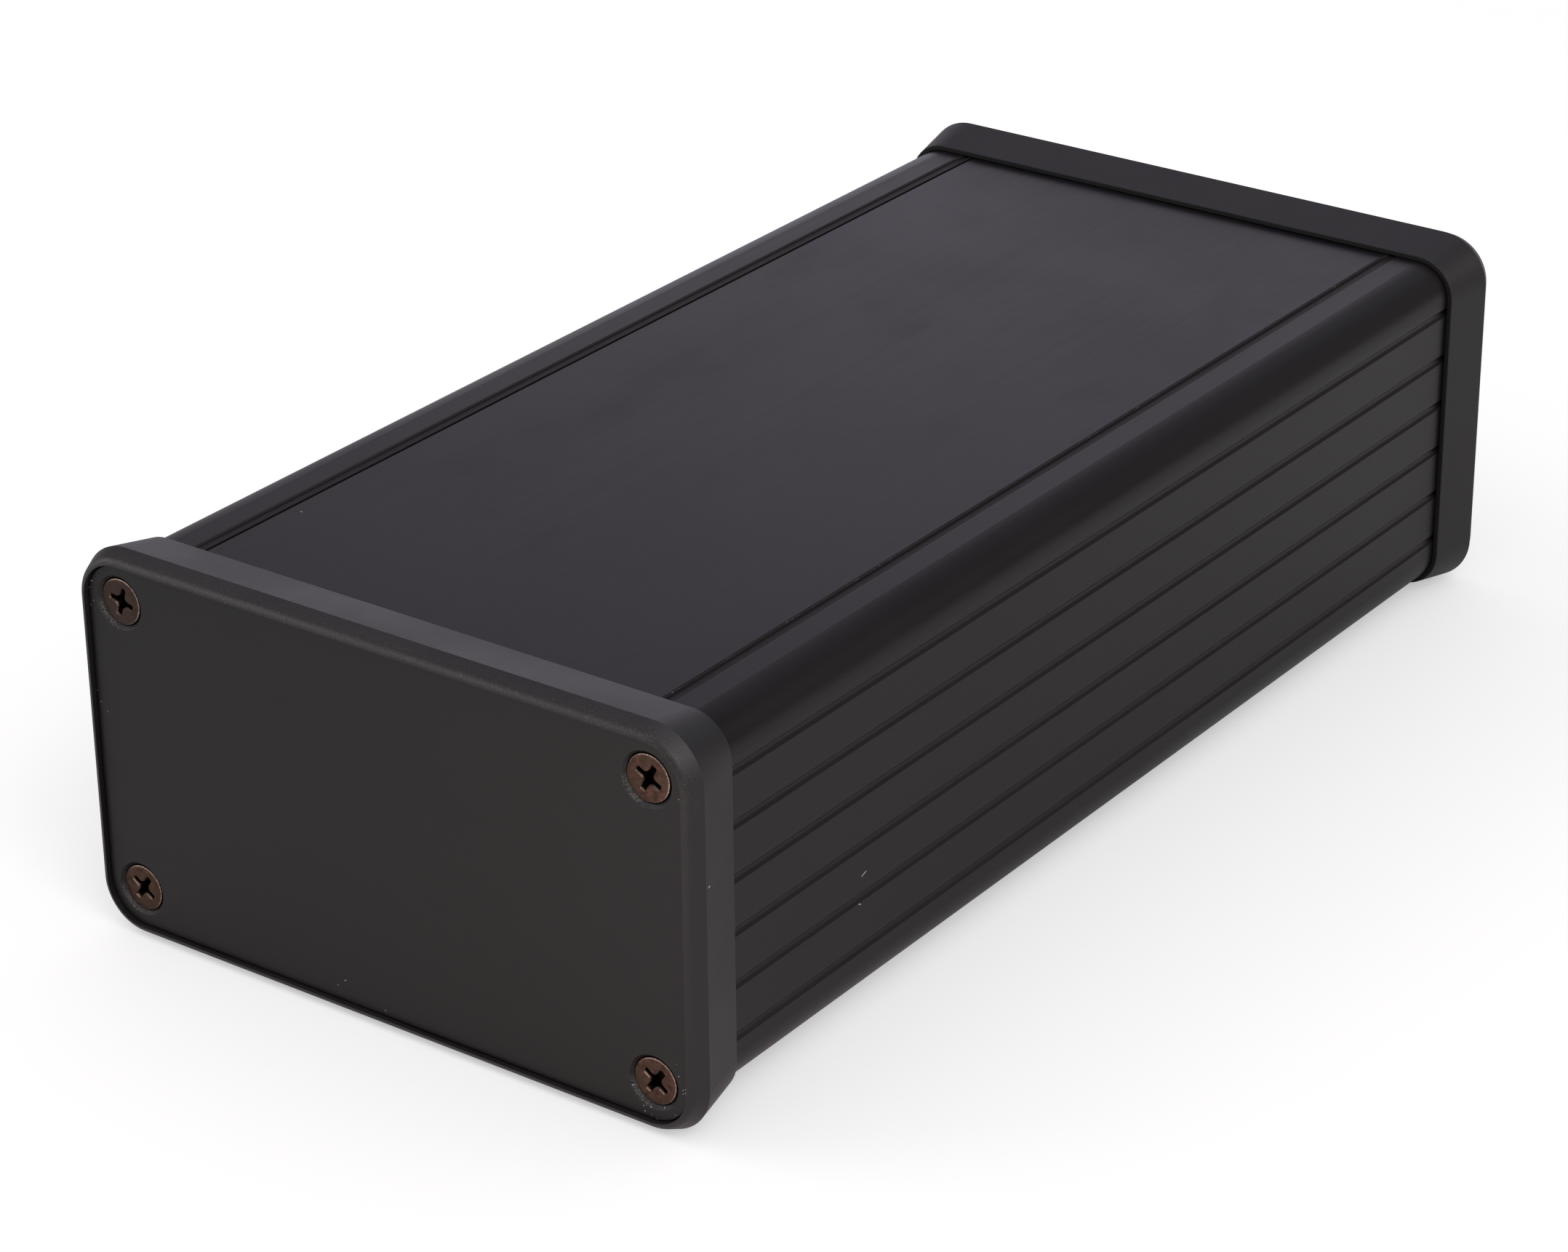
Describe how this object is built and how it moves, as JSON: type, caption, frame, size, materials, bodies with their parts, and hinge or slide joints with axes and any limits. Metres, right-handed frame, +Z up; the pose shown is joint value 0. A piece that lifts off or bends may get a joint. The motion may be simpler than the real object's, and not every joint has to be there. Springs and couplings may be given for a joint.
{
  "type": "extruded aluminium enclosure",
  "caption": "Black anodised aluminium case: open-topped extrusion with a slide-in cover, board guides, moulded end bezels and screwed end plates.",
  "frame": {"origin": "on the surface that the bezels stand on, below the middle of the case", "axes": "-Y is the front end plate, +Y the rear end plate, +Z up through the slide-in cover, X across the case"},
  "size_m": [0.108, 0.2166, 0.061],
  "materials": {
    "anodised_body": "black satin anodised",
    "anodised_cover": "black satin anodised",
    "anodised_plate": "black satin anodised",
    "bezel_plastic": "black, fine spark-eroded texture",
    "screw_steel": "dark bronze plated"
  },
  "bodies": {
    "root": {"body_extrusion": "anodised_body", "slide_cover": "anodised_cover", "front_bezel": "bezel_plastic", "rear_bezel": "bezel_plastic", "front_end_plate": "anodised_plate", "rear_end_plate": "anodised_plate", "front_plate_screws": "screw_steel", "rear_plate_screws": "screw_steel"}
  },
  "joints": []
}
